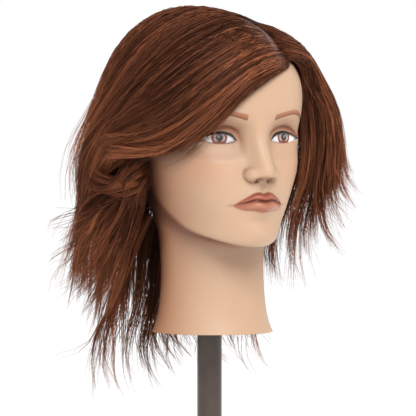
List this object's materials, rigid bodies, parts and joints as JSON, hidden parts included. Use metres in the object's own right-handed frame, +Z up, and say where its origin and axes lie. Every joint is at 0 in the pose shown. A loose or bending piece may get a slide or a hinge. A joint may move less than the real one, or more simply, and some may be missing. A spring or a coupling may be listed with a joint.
{
  "type": "mannequin training head",
  "caption": "Hairdressing training head with rooted hair on a tilting, swivelling post with a table clamp.",
  "frame": {"origin": "on the post's axis, in the plane of the clamp's upper jaw pad, which rests on the table top", "axes": "+Z up along the upright post; the face looks along -Y; the head's left side is +X"},
  "size_m": [0.2158, 0.2132, 0.5526],
  "materials": {
    "skin": "satin vinyl",
    "foam": "rigid foam",
    "hair": "brown hair",
    "dark_plastic": "matte",
    "pale_plastic": "matte",
    "bronze_paint": "satin",
    "cast_paint": "textured",
    "steel": "zinc plated",
    "rubber": "matte",
    "brass": "turned"
  },
  "bodies": {
    "clamp": {"clamp_frame": "cast_paint", "jaw_pad": "rubber", "screw_bush": "brass", "tilt_fork": "cast_paint", "fork_screw_1": "steel", "fork_screw_2": "steel", "tilt_bolt": "steel", "lever_washer": "steel"},
    "post": {"post_tube": "bronze_paint", "post_bush": "pale_plastic", "post_tongue": "cast_paint", "swivel_bolt": "steel"},
    "lock_lever": {"lock_lever": "dark_plastic"},
    "swivel": {"swivel_plug": "dark_plastic"},
    "head": {"head_skin": "skin", "foam_core": "foam", "socket_sleeve": "dark_plastic", "neck_base_plate": "pale_plastic", "flange_screw_1": "steel", "flange_screw_2": "steel", "flange_screw_3": "steel", "hair_crown_sweep": "hair", "hair_left_top": "hair", "hair_fringe": "hair", "hair_right_side": "hair", "hair_left_side": "hair", "hair_back": "hair", "hair_nape": "hair"},
    "foot": {"pressure_foot": "cast_paint", "pressure_pad": "rubber"},
    "screw": {"clamp_screw": "steel"},
    "bar": {"tommy_bar": "steel", "bar_cap_left": "rubber", "bar_cap_right": "rubber"}
  },
  "joints": [
    {"name": "tilt", "type": "hinge", "parent": "clamp", "child": "post", "pos_m": [0, 0, 0.038], "axis": [1, 0, 0], "range_deg": [-40, 60]},
    {"name": "lock_lever_turn", "type": "hinge", "parent": "clamp", "child": "lock_lever", "pos_m": [0.024, 0, 0.038], "axis": [-1, 0, 0], "range_deg": [0, 100]},
    {"name": "head_turn", "type": "hinge", "parent": "post", "child": "swivel", "pos_m": [0, 0, 0.27], "axis": [0, 0, 1], "continuous": true},
    {"name": "head_lift", "type": "slide", "parent": "swivel", "child": "head", "axis": [0, 0, 1], "range_m": [0, 0.13]},
    {"name": "screw_turn", "type": "hinge", "parent": "foot", "child": "screw", "pos_m": [0, 0, -0.08], "axis": [0, 0, 1], "range_deg": [-4320, 4230]},
    {"name": "foot_lift", "type": "slide", "parent": "clamp", "child": "foot", "axis": [0, 0, 1], "range_m": [-0.024, 0.0235]},
    {"name": "bar_slide", "type": "slide", "parent": "screw", "child": "bar", "axis": [1, 0, 0], "range_m": [-0.0235, 0.0235]}
  ],
  "couplings": [
    {"joint": "foot_lift", "follows": "screw_turn", "m_per_rad": 0.0003183}
  ]
}
